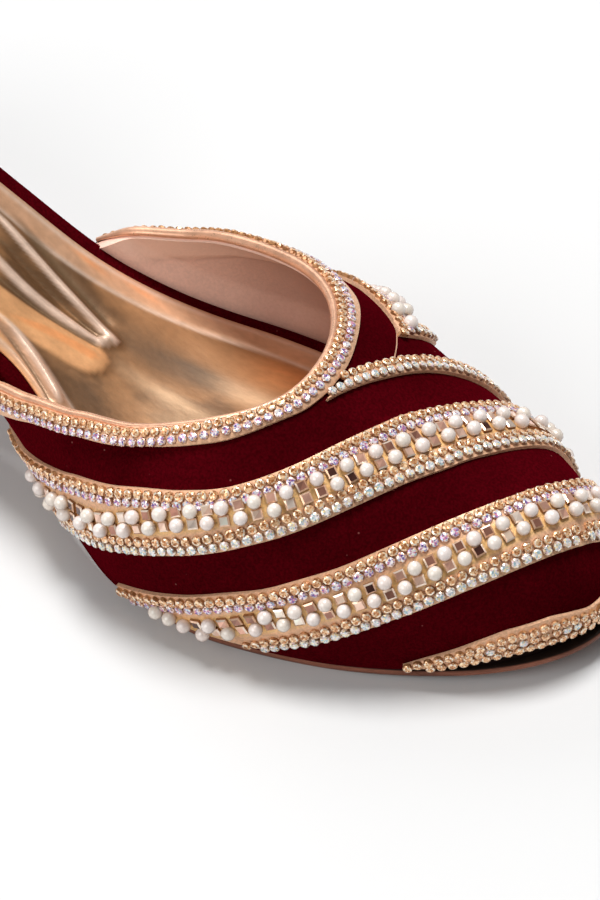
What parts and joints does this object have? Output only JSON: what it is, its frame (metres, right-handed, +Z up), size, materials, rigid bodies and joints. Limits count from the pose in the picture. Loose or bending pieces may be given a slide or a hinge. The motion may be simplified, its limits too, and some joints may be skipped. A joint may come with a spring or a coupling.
{
  "type": "embellished mule",
  "caption": "Left slip-on mule with a closed round toe, velvet vamp crossed by slanting jewelled tapes, metallic sock lining and a covered block heel.",
  "frame": {"origin": "on the floor under the middle of the shoe's bounding box", "axes": "+X towards the toe, +Y towards the outer side of the left foot, +Z up"},
  "size_m": [0.2372, 0.0822, 0.0576],
  "materials": {
    "velvet": "short napped wine red velvet",
    "jewelled_tape": "rose gold tape set with pearls and faceted stones",
    "rose_gold": "rose gold metallic leather",
    "gold_sock": "crinkled gold metallic leather",
    "sole_leather": "brown trimmed and waxed edge",
    "lift_rubber": "plain dark rubber"
  },
  "bodies": {
    "root": {"outsole": "sole_leather", "insole_board": "velvet", "sock": "gold_sock", "upper": "velvet", "topline_binding": "rose_gold", "band_topline": "jewelled_tape", "band_wrap": "jewelled_tape", "band_front": "jewelled_tape", "band_ball": "jewelled_tape", "band_side": "jewelled_tape", "band_toe": "jewelled_tape", "heel": "velvet", "top_lift": "lift_rubber"}
  },
  "joints": []
}
